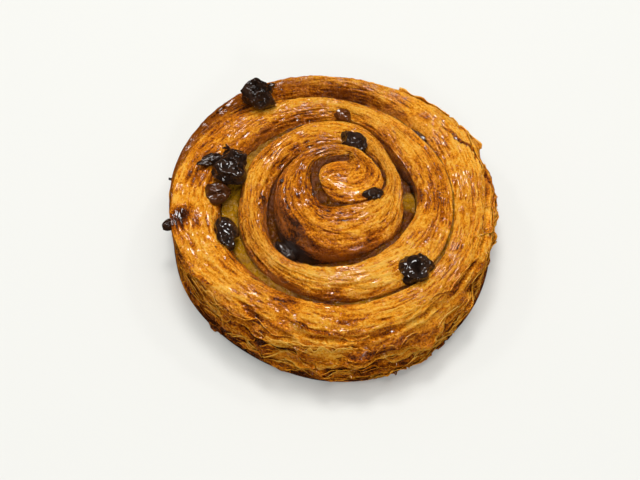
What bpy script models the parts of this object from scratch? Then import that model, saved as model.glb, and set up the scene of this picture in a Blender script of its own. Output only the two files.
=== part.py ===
"""A glazed raisin roll: laminated dough spread with custard and raisins, rolled up, sliced and baked flat.

Every length is in millimetres here and is turned into metres when a mesh is made.
The roll is laid out round its eye, the middle of the spiral, and is then moved so that the
middle of its base stands on the origin. +Z is up.

The spiral is measured in eighths of a turn. Eighth 0 is the inner tip of the custard seam, which
lies at 90 degrees in plan, and each further eighth goes 45 degrees anticlockwise. The dough between
seam index i and seam index i + 8 is one strip, so the wall radii of the whole roll are one list:
first the seam, and past its outer end the free rim.
"""

import math

import bmesh
import bpy
import numpy as np
from mathutils import Euler, Matrix, Vector

MM = 0.001
EIGHTHS = 8
STEP = 0.25

# Radius of the seam, then of the rim, at each eighth of a turn from the seam's inner tip.
WALL_RADIUS = [
    11.5, 12.7, 9.6, 9.3, 8.8, 9.8, 12.4, 14.0,
    19.0, 22.3, 25.0, 27.0, 25.4, 23.2, 20.9, 22.0,
    33.0, 37.4, 39.0, 39.8, 39.8, 38.6, 35.4, 37.0,
    47.0, 53.6, 58.6, 60.0, 58.4, 55.2, 52.8, 56.2,
    58.4, 60.2, 59.8, 59.6,
]
# Half of the gap between two neighbouring strips, at each eighth of a turn.
HALF_GAP = [
    0.9, 1.3, 1.2, 1.1, 0.9, 1.2, 0.9, 0.9,
    1.2, 0.9, 1.1, 2.0, 1.4, 1.0, 2.4, 1.4,
    0.9, 1.7, 3.6, 2.2, 1.4, 1.1, 0.9, 1.3,
    2.0, 1.4, 0.8, 0.8, 0.8,
]
# How far the custard lies below the dough beside it, at each eighth of a turn.
CUSTARD_DEPTH = [
    3.0, 3.0, 3.0, 3.0, 3.2, 4.0, 4.0, 4.5,
    5.0, 5.0, 6.0, 10.0, 7.5, 6.5, 11.0, 7.0,
    5.5, 6.5, 6.0, 6.0, 4.8, 5.0, 4.5, 6.5,
    6.5, 4.5, 3.0, 3.0,
]
SEAM_END = 25.8
ROLL_END = 34.3
RIM_START = 26.2
RIM_FULL = 27.6

RIM_HEIGHT = 24.5
EYE_RISE = 10.5
EYE_SPREAD = 30.0
CREST_DROP = 4.4
CREST_POWER = 2.6
EYE_DROP = 2.4
EYE_RADIUS = 15.0
NARROW_STRIP = 9.0
LIP = 0.7

SHOULDER_INSET = 4.4
FOOT_INSET = 2.4
BULGE_AT = 0.4

CRACK = 0.1
TAIL_START = 33.2
TAIL_TUCK = 0.9
CLEARANCE = 0.3
CAP_SECTIONS = [0.12, 0.35, 0.7, 1.1, 1.5]
TAIL_WIDTH = 0.5
INNER_WALL = [0.0, 0.5, 1.0]
OUTER_WALL = [1.0, 0.75, 0.5, 0.25, 0.0]
CREST = [0.07, 0.2, 0.38, 0.62, 0.8, 0.93]
CUSTARD_CROWN = 0.5

RAISIN_RINGS = 7
RAISIN_SEGMENTS = 12
RAISIN_CLEARANCE = 0.3

# Each raisin: seam index, offset outward from the seam, height of its middle,
# half length, half width, half thickness, turn in plan and tilt in degrees.
RAISINS = [
    ("raisin_01", 24.79, -0.8, 28.2, 4.9, 4.3, 4.3, 60, 28),
    ("raisin_02", 17.60, 0.5, 27.0, 5.2, 4.2, 3.4, 70, 10),
    ("raisin_03", 17.62, 8.9, 26.4, 4.0, 2.0, 1.8, 22, 6),
    ("raisin_04", 17.93, 3.6, 23.8, 3.9, 3.1, 2.7, 20, 0),
    ("raisin_05", 18.44, 2.2, 23.2, 5.4, 3.4, 3.1, 112, 4),
    ("raisin_06", 7.73, 1.1, 30.2, 5.2, 3.4, 2.4, -52, -8),
    ("raisin_07", 5.29, -0.4, 31.0, 3.0, 2.2, 2.2, 20, 0),
    ("raisin_08", 20.82, -2.0, 26.2, 5.4, 4.3, 3.4, 18, 0),
    ("raisin_09", 26.10, 0.5, 15.0, 1.9, 1.6, 1.7, 15, 0),
    ("raisin_10", 10.92, -0.9, 20.8, 4.6, 2.4, 2.4, -42, 0),
    ("raisin_11", 16.02, -0.4, 27.4, 2.7, 2.0, 1.8, -20, 0),
    ("raisin_12", 23.05, 0.0, 22.8, 3.6, 1.7, 2.0, -45, 0),
]


def smooth(values, index):
    """A value between the entries of a list, on a curve that passes smoothly through them."""
    last = len(values) - 1
    index = min(max(index, 0.0), last)
    i = min(int(index), last - 1)
    t = index - i
    p = [values[min(max(k, 0), last)] for k in (i - 1, i, i + 1, i + 2)]
    slope_in = 0.5 * (p[2] - p[0])
    slope_out = 0.5 * (p[3] - p[1])
    rise = p[2] - p[1]
    return p[1] + t * (slope_in + t * (3 * rise - 2 * slope_in - slope_out + t * (slope_in + slope_out - 2 * rise)))


def ease(value, start, end):
    """0 before start, 1 after end, and smooth between them."""
    t = min(max((value - start) / (end - start), 0.0), 1.0)
    return t * t * (3 - 2 * t)


def outward(index):
    """The plan direction from the eye towards a seam index."""
    angle = math.radians(90 + 45 * index)
    return Vector((math.cos(angle), math.sin(angle)))


def half_gap(index):
    """Half of the seam's gap; it closes to a crack where the seam runs out under the roll's tail."""
    closed = ease(index, SEAM_END - 0.2, SEAM_END + 0.4)
    return smooth(HALF_GAP, index) * (1 - closed) + CRACK * closed


def wall_point(index, offset=0.0):
    """The point on the seam or rim at that index, moved outward by offset."""
    return outward(index) * (smooth(WALL_RADIUS, index) + offset)


def crest_height(point):
    """Height of the dough's crests: a low dome round the eye on a level rim."""
    return RIM_HEIGHT + EYE_RISE * math.exp(-(point.length / EYE_SPREAD) ** 2)


def crest_drop(point, width):
    """How far a strip's edges lie below its crest: less in the eye and on a narrow strip."""
    eye_share = math.exp(-(point.length / EYE_RADIUS) ** 2)
    return (CREST_DROP + (EYE_DROP - CREST_DROP) * eye_share) * min(1.0, width / NARROW_STRIP)


def tip_point(share):
    """The dough's rounded wall round the seam's inner tip: share runs from its inner to its outer side."""
    gap = half_gap(0)
    radial = outward(0)
    along = Vector((-radial.y, radial.x))
    turned = math.cos(math.pi * share) * radial + math.sin(math.pi * share) * along
    return wall_point(0) - gap * turned


def strip_ends():
    """(inner point, outer point, how free the outer wall is) of each cross-section, eye to tail."""
    ends = []
    for t in CAP_SECTIONS:
        ends.append((wall_point(2 - t, -half_gap(2 - t)), wall_point(2 + t, -half_gap(2 + t)), 0.0))
    outer = 4.0
    while outer < 8:
        ends.append((tip_point((outer - 4) / 4), wall_point(outer, -half_gap(outer)), 0.0))
        outer += STEP
    while outer <= ROLL_END:
        inner = outer - EIGHTHS
        gap = half_gap(outer)
        start = wall_point(inner, half_gap(inner))
        end = wall_point(outer, -gap - TAIL_TUCK * ease(outer, TAIL_START, ROLL_END))
        if (end - start).dot(outward(outer)) > TAIL_WIDTH:
            ends.append((start, end, ease(outer, RIM_START, RIM_FULL)))
        outer += STEP
    return ends


def outer_inset(share, free):
    """How far the outer wall leans in at that share of its height: a lip on a seam, a bulge on the rim."""
    above = max(0.0, (share - BULGE_AT) / (1 - BULGE_AT))
    below = max(0.0, (BULGE_AT - share) / BULGE_AT)
    bulge = SHOULDER_INSET * above ** 2.2 + FOOT_INSET * below ** 2
    return free * bulge + (1 - free) * LIP * above ** 3


def dough_section(inner, outer, free):
    """The closed outline of one cross-section, up the inner wall, over the crest and down the outer wall."""
    across = outer - inner
    width = across.length
    across = across / width
    room = min(1.0, width / (SHOULDER_INSET + 3.0))
    lip = min(LIP, width * 0.2)
    crest_start = inner + across * lip
    crest_end = outer - across * outer_inset(1.0, free) * room
    points = []
    top = crest_height(inner) - crest_drop(inner, width)
    for share in INNER_WALL:
        points.append((inner + across * lip * share ** 3, top * share))
    for w in CREST:
        spot = crest_start.lerp(crest_end, w)
        drop = crest_drop(spot, width) * abs(2 * w - 1) ** CREST_POWER
        points.append((spot, crest_height(spot) - drop))
    top = crest_height(crest_end) - crest_drop(crest_end, width)
    for share in OUTER_WALL:
        points.append((outer - across * outer_inset(share, free) * room, top * share))
    return [Vector((p.x, p.y, z)) for p, z in points]


def custard_section(index):
    """The closed outline of the custard ribbon at that seam index."""
    half = half_gap(index) - CLEARANCE
    inner = wall_point(index, -half)
    outer = wall_point(index, half)
    middle = wall_point(index)
    top = crest_height(middle) - smooth(CUSTARD_DEPTH, index)
    return [
        Vector((inner.x, inner.y, 0.0)),
        Vector((inner.x, inner.y, top)),
        Vector((middle.x, middle.y, top + CUSTARD_CROWN)),
        Vector((outer.x, outer.y, top)),
        Vector((outer.x, outer.y, 0.0)),
    ]


def new_material(name, colour, roughness):
    """A plain Principled material."""
    material = bpy.data.materials.new(name)
    material.use_nodes = True
    shader = material.node_tree.nodes["Principled BSDF"]
    shader.inputs["Base Color"].default_value = (*colour, 1.0)
    shader.inputs["Roughness"].default_value = roughness
    shader.inputs["Metallic"].default_value = 0.0
    return material


def add_object(name, mesh, material):
    """Links a mesh to the scene as a named object."""
    mesh.shade_smooth()
    mesh.materials.append(material)
    obj = bpy.data.objects.new(name, mesh)
    bpy.context.scene.collection.objects.link(obj)
    return obj


def loft(name, sections, material):
    """One closed solid through a row of closed outlines, with a flat face on each end."""
    bm = bmesh.new()
    rings = [[bm.verts.new(point * MM) for point in section] for section in sections]
    size = len(rings[0])
    for ring, following in zip(rings, rings[1:]):
        for k in range(size):
            bm.faces.new((ring[k], ring[(k + 1) % size], following[(k + 1) % size], following[k]))
    bm.faces.new(rings[0][::-1])
    bm.faces.new(rings[-1])
    bmesh.ops.recalc_face_normals(bm, faces=bm.faces)
    mesh = bpy.data.meshes.new(name)
    bm.to_mesh(mesh)
    bm.free()
    return add_object(name, mesh, material)


def dimple(direction, phase):
    """The raisin's folds: a share added to its radius in that direction."""
    x, y, z = direction
    return 0.07 * math.sin(3.1 * x + 2.3 * z + phase) + 0.06 * math.sin(4.7 * y - 3.1 * x + 2 * phase)


def add_raisin(row, grown, material):
    """A lumpy, flattened dried grape in the seam; grown makes the pocket that it lies in."""
    name, index, offset, height, length, width, thickness, turn, tilt = row
    bm = bmesh.new()
    bmesh.ops.create_uvsphere(bm, u_segments=RAISIN_SEGMENTS, v_segments=RAISIN_RINGS, radius=1.0)
    phase = 1.7 * RAISINS.index(row)
    half_sizes = Vector((length, width, thickness))
    for vert in bm.verts:
        direction = vert.co.normalized()
        size = half_sizes * (1 + dimple(direction, phase))
        vert.co = Vector([d * (s + grown) * MM for d, s in zip(direction, size)])
    mesh = bpy.data.meshes.new(name)
    bm.to_mesh(mesh)
    bm.free()
    place = wall_point(index, offset) * MM
    turned = Euler((0.0, math.radians(tilt), math.radians(turn))).to_matrix().to_4x4()
    mesh.transform(Matrix.Translation((place.x, place.y, height * MM)) @ turned)
    return add_object(name, mesh, material)


def cut_pockets(food, pockets):
    """Cuts each raisin's pocket out of the dough or the custard."""
    for pocket in pockets:
        cut = food.modifiers.new(pocket.name, "BOOLEAN")
        cut.operation = "DIFFERENCE"
        cut.solver = "EXACT"
        cut.object = pocket


def stand_on_origin(objects):
    """Moves everything so that the middle of the base is at the origin."""
    bpy.context.view_layer.update()
    shown = [o for o in objects if not o.hide_render]
    corners = np.array([o.matrix_world @ Vector(c) for o in shown for c in o.bound_box])
    low, high = corners.min(axis=0), corners.max(axis=0)
    shift = Vector(((low[0] + high[0]) / 2, (low[1] + high[1]) / 2, low[2]))
    for obj in objects:
        obj.location -= shift


def main():
    for obj in list(bpy.data.objects):
        bpy.data.objects.remove(obj, do_unlink=True)
    crust = new_material("baked_crust", (0.62, 0.30, 0.05), 0.35)
    cream = new_material("baked_custard", (0.45, 0.25, 0.03), 0.25)
    fruit = new_material("dried_fruit", (0.02, 0.012, 0.01), 0.3)

    dough = loft("dough_roll", [dough_section(*ends) for ends in strip_ends()], crust)
    first, last = 0.25, SEAM_END - 0.3
    indexes = np.append(np.arange(first, last, STEP), last)
    custard = loft("custard_filling", [custard_section(index) for index in indexes], cream)

    raisins = [add_raisin(row, 0.0, fruit) for row in RAISINS]
    pockets = [add_raisin(row, RAISIN_CLEARANCE, fruit) for row in RAISINS]
    for raisin, pocket in zip(raisins, pockets):
        pocket.name = raisin.name + "_pocket"
        pocket.hide_render = True
        pocket.display_type = "WIRE"
    cut_pockets(dough, pockets)
    cut_pockets(custard, pockets)
    stand_on_origin([dough, custard, *raisins, *pockets])


main()
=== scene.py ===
import math
from types import SimpleNamespace

import bpy
import numpy as np
from bpy.props import FloatProperty, FloatVectorProperty, IntProperty, PointerProperty
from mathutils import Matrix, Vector


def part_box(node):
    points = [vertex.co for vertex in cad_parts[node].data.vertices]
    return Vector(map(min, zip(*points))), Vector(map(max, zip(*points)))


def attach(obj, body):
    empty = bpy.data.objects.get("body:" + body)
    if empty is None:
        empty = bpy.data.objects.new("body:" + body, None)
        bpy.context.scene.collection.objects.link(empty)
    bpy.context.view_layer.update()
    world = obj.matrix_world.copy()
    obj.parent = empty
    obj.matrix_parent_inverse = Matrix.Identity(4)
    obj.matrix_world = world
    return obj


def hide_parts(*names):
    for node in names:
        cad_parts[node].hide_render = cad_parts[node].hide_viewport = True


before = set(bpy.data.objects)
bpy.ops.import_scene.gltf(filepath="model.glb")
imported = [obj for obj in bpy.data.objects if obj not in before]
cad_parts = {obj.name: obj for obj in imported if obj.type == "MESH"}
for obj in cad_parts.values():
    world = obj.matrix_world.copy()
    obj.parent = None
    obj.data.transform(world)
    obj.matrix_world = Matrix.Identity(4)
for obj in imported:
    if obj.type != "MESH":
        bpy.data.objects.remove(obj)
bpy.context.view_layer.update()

bl_info = {
    "name": "Raisin roll pastry",
    "version": (1, 0, 0),
    "blender": (4, 5, 0),
    "location": "3D View > Sidebar > Pastry",
    "description": "Builds the crust, custard, raisins and glaze of a spiral raisin roll",
    "category": "Object",
}

MM = 0.001

# The tables below have one entry for each eighth of a turn, from the seam's inner tip outwards.
# In millimetres: how far the seam lies from the eye (beyond the seam's end, the outer wall), half the
# seam's width, and how deep the custard lies in it.
WALL_RADIUS = [
    11.5, 12.7, 9.6, 9.3, 8.8, 9.8, 12.4, 14.0,
    19.0, 22.3, 25.0, 27.0, 25.4, 23.2, 20.9, 22.0,
    33.0, 37.4, 39.0, 39.8, 39.8, 38.6, 35.4, 37.0,
    45.8, 53.4, 58.6, 57.6, 58.4, 53.8, 52.4, 56.5,
    59.2, 63.0, 59.8, 59.6,
]
HALF_GAP = [
    0.4, 1.0, 1.2, 0.9, 0.2, 0.08, 0.1, 0.15,
    0.3, 0.2, 0.35, 2.1, 0.9, 0.4, 1.9, 1.0,
    0.5, 1.3, 2.4, 0.9, 0.45, 0.12, 0.06, 0.2,
    1.0, 0.1, 0.02, 0.02, 0.02,
]
CUSTARD_DEPTH = [
    1.6, 2.2, 2.4, 2.4, 1.6, 1.6, 2.0, 3.0,
    4.0, 4.5, 7.0, 14.0, 6.5, 5.0, 10.0, 11.0,
    5.5, 7.0, 7.0, 6.6, 5.0, 2.6, 1.8, 4.0,
    7.0, 3.6, 2.0, 3.0,
]
# How dark the sugar has cooked on the walls beside the seam.
WALL_CARAMEL = [
    0.5, 0.8, 0.85, 0.75, 0.25, 0.2, 0.25, 0.4,
    0.35, 0.45, 0.8, 1.0, 0.75, 0.45, 1.0, 0.5,
    0.3, 0.5, 0.9, 1.0, 0.8, 0.35, 0.1, 0.25,
    0.6, 0.55, 0.2, 0.2, 0.5, 0.5, 0.5, 0.5,
    0.5, 0.5, 0.5, 0.5,
]
# How far the dough has browned.
CREST_BAKE = [
    0.60, 0.60, 0.60, 0.60, 0.62, 0.62, 0.60, 0.60,
    0.58, 0.62, 0.66, 0.66, 0.58, 0.48, 0.46, 0.46,
    0.46, 0.50, 0.48, 0.42, 0.40, 0.40, 0.42, 0.42,
    0.44, 0.46, 0.42, 0.42, 0.42, 0.43, 0.40, 0.42,
    0.52, 0.68, 0.68, 0.62,
]
# How deep the valley over the seam is, as a share of a full one.
SEAM_DIP = [
    0.7, 0.9, 0.9, 0.8, 0.25, 0.2, 0.35, 0.7,
    0.8, 0.8, 1.1, 1.6, 1.0, 0.8, 1.1, 0.7,
    0.7, 1.0, 1.1, 1.1, 0.9, 0.45, 0.3, 0.5,
    0.9, 0.30, 0.05, 0.8, 1.0, 1.0, 1.0, 1.0,
    1.0, 1.0, 1.0, 1.0,
]
# How far a strip's inner side has slumped into the seam, in millimetres.
INNER_SLUMP = [
    0.0, 0.0, 0.0, 0.0, 0.0, 0.0, 0.0, 0.0,
    0.0, 0.0, 0.4, 0.8, 0.4, 0.0, 0.0, 0.0,
    1.0, 2.2, 0.8, 0.0, 0.0, 0.0, 0.0, 1.6,
    4.0, 1.6, 0.2, 0.0, 0.0, 0.0, 0.0, 0.0,
    0.0, 0.0, 0.0, 0.0,
]
# The share of a strip's width that slumps.
SLUMP_REACH = 0.62
# How far the side is drawn in, in millimetres: place in eighths of a turn, its spread and the amount.
SIDE_TRIMS = [(26.6, 0.6, 1.3), (29.55, 0.5, 2.2), (30.3, 0.5, 0.8)]
# Patches darker or lighter than the dough round them: plan from the eye, radius and amount.
TONE_PATCHES = [
    (-54.2, -7.1, 3.4, 0.45), (-52.0, 20.0, 6.0, 0.22), (-46.0, 31.0, 7.0, 0.20), (-38.0, 40.0, 7.0, 0.20),
    (-51.0, 10.0, 5.0, 0.12), (-18.0, -17.0, 4.0, 0.25), (13.0, 21.0, 5.0, 0.12), (-21.3, 3.3, 1.3, 0.5),
    (-27.6, -1.7, 1.0, 0.4), (30.0, 12.0, 5.0, 0.12), (-8.0, -33.0, 10.0, -0.10), (10.0, -36.0, 8.0, -0.08),
    (40.0, 22.0, 9.0, -0.06), (8.0, 52.0, 8.0, -0.05), (0.0, -52.0, 10.0, 0.10), (-30.0, -44.0, 8.0, 0.10),
    (29.0, -5.0, 6.0, 0.28), (27.5, 4.0, 5.0, 0.22), (-19.0, -41.0, 6.0, 0.32), (-35.0, -22.0, 6.0, 0.25),
    (-56.0, -9.0, 4.0, 0.35),
]
# The same on the side, where the height counts too: place from the eye, radius and amount.
SIDE_TONE_PATCHES = [
    (-24.5, -52.5, 15.0, 5.0, 0.26), (-16.0, -55.5, 13.0, 5.0, 0.20), (3.0, -57.5, 16.0, 5.5, 0.34),
    (14.0, -56.0, 8.0, 5.5, -0.32), (28.0, -50.0, 13.0, 6.5, -0.30), (-34.0, -46.5, 13.0, 4.5, 0.22),
    (-9.0, -57.5, 8.0, 4.5, -0.22), (42.0, -38.0, 12.0, 6.0, -0.15), (-46.0, -35.0, 5.0, 6.0, 0.25),
]
# Swollen lobes of glazed dough on the side: place from the eye, radius and how far they stand out.
SIDE_LOBES = [
    (-25.0, -52.5, 14.5, 5.2, 1.7), (3.0, -58.0, 14.5, 4.6, 1.3), (-9.0, -58.0, 8.0, 4.2, 1.3),
]
# Crumbs: place from the eye, half length, half width, half thickness, turn in degrees and how brown.
CRUMBS = [
    (38.7, -1.6, 24.2, 0.9, 0.7, 0.6, 20, 0.05), (39.1, -6.9, 24.0, 1.0, 0.6, 0.5, 70, 0.1),
    (43.8, -12.8, 22.6, 0.9, 0.6, 0.5, -30, 0.1), (26.1, 3.6, 27.0, 2.2, 0.9, 0.8, 25, 0.1),
    (28.8, 2.7, 26.6, 1.3, 1.0, 0.8, -40, 0.05), (-26.0, 48.8, 25.4, 1.4, 0.9, 0.8, 10, 0.2),
    (-59.6, 13.6, 17.0, 1.2, 0.45, 0.4, 160, 0.0), (-21.3, 3.3, 29.6, 0.8, 0.6, 0.5, 0, 0.2),
    (-27.6, -1.7, 27.6, 0.6, 0.5, 0.4, 0, 0.3), (31.5, 4.0, 26.2, 0.8, 0.6, 0.5, 60, 0.3),
    (-43.0, -20.0, 24.6, 0.6, 0.4, 0.4, 30, 0.5), (21.0, -24.0, 26.8, 0.5, 0.4, 0.3, 80, 0.4),
]
# Dried stalks: where each leaves the food and where its tip ends, from the eye.
STALKS = [
    ((-38.2, 15.4, 28.2), (-40.6, 19.0, 29.4)),
    ((-39.6, 18.0, 28.4), (-41.6, 17.4, 29.4)),
    ((-55.0, 13.2, 17.0), (-59.4, 13.2, 17.2)),
]
STALK_RADIUS = 0.42
STALK_BROWN = 0.15

# Places along the roll, in eighths of a turn.
SEAM_END = 25.8
CUSTARD_START = -0.1
CUSTARD_END = SEAM_END - 0.5
RIM_START = 26.2
RIM_FULL = 27.6
LIP_END = 24.4
LIP_NONE = 25.2
TAIL_FLAT_START = 31.9
TAIL_FLAT_FULL = 33.0
TAIL_START = 33.2
ROLL_END = 34.3
SCORCH_AT = 26.95
SCORCH_REACH = 0.65
# Where the seam is shallow: the place and how far that spreads.
SHALLOW_SEAM = [(22.3, 0.9), (5.2, 1.1)]

# Heights, widths and insets, in millimetres.
RIM_HEIGHT = 24.5
EYE_RISE = 10.5
EYE_SPREAD = 30.0
CREST_DROP = 4.4
EYE_DROP = 2.4
EYE_RADIUS = 15.0
NARROW_STRIP = 9.0
LIP = 0.7
SHOULDER_INSET = 4.4
SHOULDER_ROOM = 3.0
FOOT_INSET = 2.4
CRACK = 0.02
TAIL_TUCK = 0.9
TAIL_WIDTH = 0.12
CUSTARD_OVERLAP = 0.25
CUSTARD_FOOT = 0.4
FLAKE_THICKNESS = 0.16
FLAKE_FOOT = 0.3
MERGE = 0.002

# Widths that the noise and the map count with: the strip's crest, its walls and its base.
STRIP_WIDTH = 17.0
WALL_HEIGHT = 24.0
BASE_WIDTH = 5

# Exponents and shares of the outline.
CREST_POWER = 2.6
BULGE_AT = 0.4
SHOULDER_POWER = 2.2
SLUMP_POWER = 1.6
LIP_SHARE = 0.2

# Parts of the cross-section, and how many columns of the grid each has.
INNER, CREST, OUTER, BASE = range(4)
INNER_COLUMNS = 13
CREST_COLUMNS = 52
OUTER_COLUMNS = 38
BASE_COLUMNS = 3

# How finely the length of the roll is measured, and the cross-sections of the custard.
LENGTH_STEPS = 6000
CUSTARD_STATIONS = 620
CUSTARD_COLUMNS = 15
FLAKE_ROWS = 18
FLAKE_COLUMNS = 6
FLAKE_SEED = 23

# Where the custard is thick and yellow: place in eighths of a turn, and how thick.
CUSTARD_THICK = [
    (0, 0), (13.7, 0), (13.9, 0.6), (14.2, 0.6), (14.35, 0.0), (16.8, 0.1), (17.4, 0.9), (19.0, 0.6),
    (19.8, 0.0), (20.1, 0.5), (20.6, 0.0), (21.2, 0.4), (23.2, 0.4), (24.0, 0.0), (26, 0.5),
]

# How much a raisin narrows towards its top and towards its far end, and how far it is lifted, in millimetres.
TAPERS = {
    "raisin_01": (0.38, 0.0, 1.3),
    "raisin_02": (0.0, 0.25, 0.0),
    "raisin_03": (0.0, -0.45, 0.0),
    "raisin_07": (0.0, 0.0, 1.9),
    "raisin_10": (0.0, 0.0, -4.5),
}
# Each raisin: CAD node, half length, half width, half thickness, turn in plan and tilt in degrees, how
# crinkled and how brown.
RAISINS = [
    ("raisin_01", 4.9, 4.3, 4.3, 60, 28, 1.0, 0.0),
    ("raisin_02", 6.0, 4.8, 3.7, 70, 10, 1.2, 0.0),
    ("raisin_03", 4.0, 2.0, 1.8, 22, 6, 0.8, 0.0),
    ("raisin_04", 3.9, 3.1, 2.7, 20, 0, 0.7, 0.45),
    ("raisin_05", 5.4, 3.4, 3.1, 112, 4, 0.6, 0.0),
    ("raisin_06", 5.2, 3.4, 2.4, -52, -8, 0.8, 0.0),
    ("raisin_07", 3.0, 2.2, 2.2, 20, 0, 0.8, 0.0),
    ("raisin_08", 4.9, 4.0, 3.4, 18, 0, 1.0, 0.0),
    ("raisin_09", 1.9, 1.6, 1.7, 15, 0, 0.6, 0.1),
    ("raisin_10", 4.6, 2.4, 2.4, -42, 0, 0.6, 0.0),
    ("raisin_11", 2.7, 2.0, 1.8, -20, 0, 0.6, 0.9),
    ("raisin_12", 3.2, 1.5, 1.4, -45, 0, 0.6, 0.3),
]


# ---------------------------------------------------------------- numbers


def smooth(values, index):
    """Values between a list's entries, on a curve that passes smoothly through them."""
    last = len(values) - 1
    index = np.clip(np.asarray(index, float), 0, last)
    i = np.minimum(index.astype(int), last - 1)
    t = index - i
    table = np.asarray(values, float)
    before, start, end, after = (table[np.clip(i + k, 0, last)] for k in (-1, 0, 1, 2))
    slope_in = 0.5 * (end - before)
    slope_out = 0.5 * (after - start)
    rise = end - start
    cubic = slope_in + slope_out - 2 * rise
    return start + t * (slope_in + t * (3 * rise - 2 * slope_in - slope_out + t * cubic))


def ease(value, start, end):
    """0 before start, 1 after end, and smooth between them."""
    t = np.clip((np.asarray(value, float) - start) / (end - start), 0.0, 1.0)
    return t * t * (3 - 2 * t)


def lattice(cells, seed):
    """A repeatable number from -1 to 1 for each whole-number cell."""
    mixed = np.full(cells.shape[:-1], (seed * 374761393) % 2**32, np.uint64)
    for axis, prime in zip(range(cells.shape[-1]), (668265263, 2246822519, 3266489917)):
        mixed = (mixed + (cells[..., axis].astype(np.int64) % 2**31).astype(np.uint64) * prime) % 2**32
        mixed = ((mixed ^ (mixed >> np.uint64(13))) * np.uint64(1274126177)) % 2**32
    mixed ^= mixed >> np.uint64(16)
    return mixed.astype(float) / 2**31 - 1


def noise(points, seed):
    """Smooth random values from -1 to 1 at points of two or three coordinates, one cell a unit wide."""
    base = np.floor(points)
    part = points - base
    part = part * part * part * (part * (part * 6 - 15) + 10)
    size = points.shape[-1]
    total = np.zeros(points.shape[:-1])
    for corner in range(2**size):
        step = np.array([(corner >> axis) & 1 for axis in range(size)])
        weight = np.prod(np.where(step, part, 1 - part), axis=-1)
        total += weight * lattice(base + step, seed)
    return total


def layered(points, seed, octaves=3):
    """Noise at several scales, each half as wide and half as strong as the last."""
    total = np.zeros(points.shape[:-1])
    for octave in range(octaves):
        total += noise(points * 2**octave + 7.3 * octave, seed + octave) / 2**octave
    return total / (2 - 2.0 ** (1 - octaves))


def spread(u, v, along, across):
    """Points for noise that is stretched: along and across are the widths of one cell."""
    return np.stack([u / along, v / across], axis=-1)


def terrace(value, sharpness):
    """Rounds a value towards whole steps, leaving ramps whose steepness grows with sharpness."""
    step = np.floor(value)
    part = value - step
    return step + ease(part, 0.5 - 0.5 / sharpness, 0.5 + 0.5 / sharpness)


# ---------------------------------------------------------------- the roll's shape


def outward(index):
    """Unit plan directions from the eye towards seam indexes."""
    angle = np.radians(90 + 45 * np.asarray(index, float))
    return np.stack([np.cos(angle), np.sin(angle)], axis=-1)


def half_gap(index):
    """Half the seam's width: beyond its end the seam is only a crack."""
    closed = ease(index, SEAM_END - 0.2, SEAM_END + 0.4)
    return smooth(HALF_GAP, index) * (1 - closed) + CRACK * closed


def wall_point(index, offset=0.0):
    """Plan points on the seam's middle line, or offset from it, outwards."""
    return outward(index) * (smooth(WALL_RADIUS, index) + offset)[..., None]


def crest_height(plan):
    """Height of the crests: a low dome round the eye on a level rim."""
    return RIM_HEIGHT + EYE_RISE * np.exp(-((np.linalg.norm(plan, axis=-1) / EYE_SPREAD) ** 2))


def full_drop(plan):
    """How far a wide strip's edges lie below its crest: less round the eye."""
    eye_share = np.exp(-((np.linalg.norm(plan, axis=-1) / EYE_RADIUS) ** 2))
    return CREST_DROP + (EYE_DROP - CREST_DROP) * eye_share


def crest_drop(plan, width):
    """How far a strip's edges lie below its crest."""
    return full_drop(plan) * np.minimum(1.0, width / NARROW_STRIP)


def strip_ends(place):
    """Inner and outer wall points, how free the outer wall stands and its index, at places along the roll.
    Places below 2 are the eye's cap, those from 2 to 6 turn round the seam's tip, and the rest follow the
    coils."""
    outer = np.maximum(place, 2) + 2
    cap = np.minimum(place, 2)
    radial = outward(0)
    sideways = np.array([-radial[1], radial[0]])
    turn = np.pi * np.clip((outer - 4) / 4, 0, 1)[:, None]
    tip = wall_point(0.0) - half_gap(0.0) * (np.cos(turn) * radial + np.sin(turn) * sideways)
    inner_index = outer - 8
    follow = wall_point(inner_index, half_gap(inner_index))
    opening = wall_point(2 - cap, -half_gap(2 - cap))
    start = np.where((place < 2)[:, None], opening, np.where((outer < 8)[:, None], tip, follow))
    tuck = TAIL_TUCK * ease(outer, TAIL_START, ROLL_END)
    end_index = np.where(place < 2, 2 + cap, outer)
    end = wall_point(end_index, -half_gap(end_index) - tuck)
    return start, end, ease(end_index, RIM_START, RIM_FULL), end_index


def roll_places(count):
    """Places along the roll, evenly spaced by distance, and that distance in millimetres. The tail stops
    where it has thinned out."""
    place = np.linspace(0.02, ROLL_END - 2, LENGTH_STEPS)
    start, end, _, index = strip_ends(place)
    width = np.einsum("ij,ij->i", end - start, outward(index))
    place = place[(place <= 20) | (width > TAIL_WIDTH)]
    start, end, _, _ = strip_ends(place)
    middle = 0.35 * start + 0.65 * end
    length = np.concatenate([[0], np.cumsum(np.linalg.norm(np.diff(middle, axis=0), axis=1))])
    even = np.linspace(0, length[-1], count)
    return np.interp(even, length, place), even


def tail_share(index):
    """How far a place on the outer wall belongs to the flat tail, which lies closed against the coil."""
    return ease(index, TAIL_FLAT_START, TAIL_FLAT_FULL)


def seam_lip(index):
    """How far a wall leans away from the seam at its top: least where the seam is shallow, and not at all
    at its closed end."""
    shallow = sum(np.exp(-(((index - at) / reach) ** 2)) for at, reach in SHALLOW_SEAM)
    return LIP * (1 - ease(index, LIP_END, LIP_NONE)) * (1 - 0.8 * shallow)


def outer_inset(share, free, index):
    """How far the outer wall lies inside its widest line, by its height as a share. The free side bulges."""
    above = np.maximum(0.0, (share - BULGE_AT) / (1 - BULGE_AT))
    below = np.maximum(0.0, (BULGE_AT - share) / BULGE_AT)
    shoulder = SHOULDER_INSET * (1 - 0.55 * tail_share(index))[:, None]
    bulge = shoulder * above**SHOULDER_POWER + FOOT_INSET * below**2
    return free * bulge + (1 - free) * seam_lip(index)[:, None] * above**3


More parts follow.
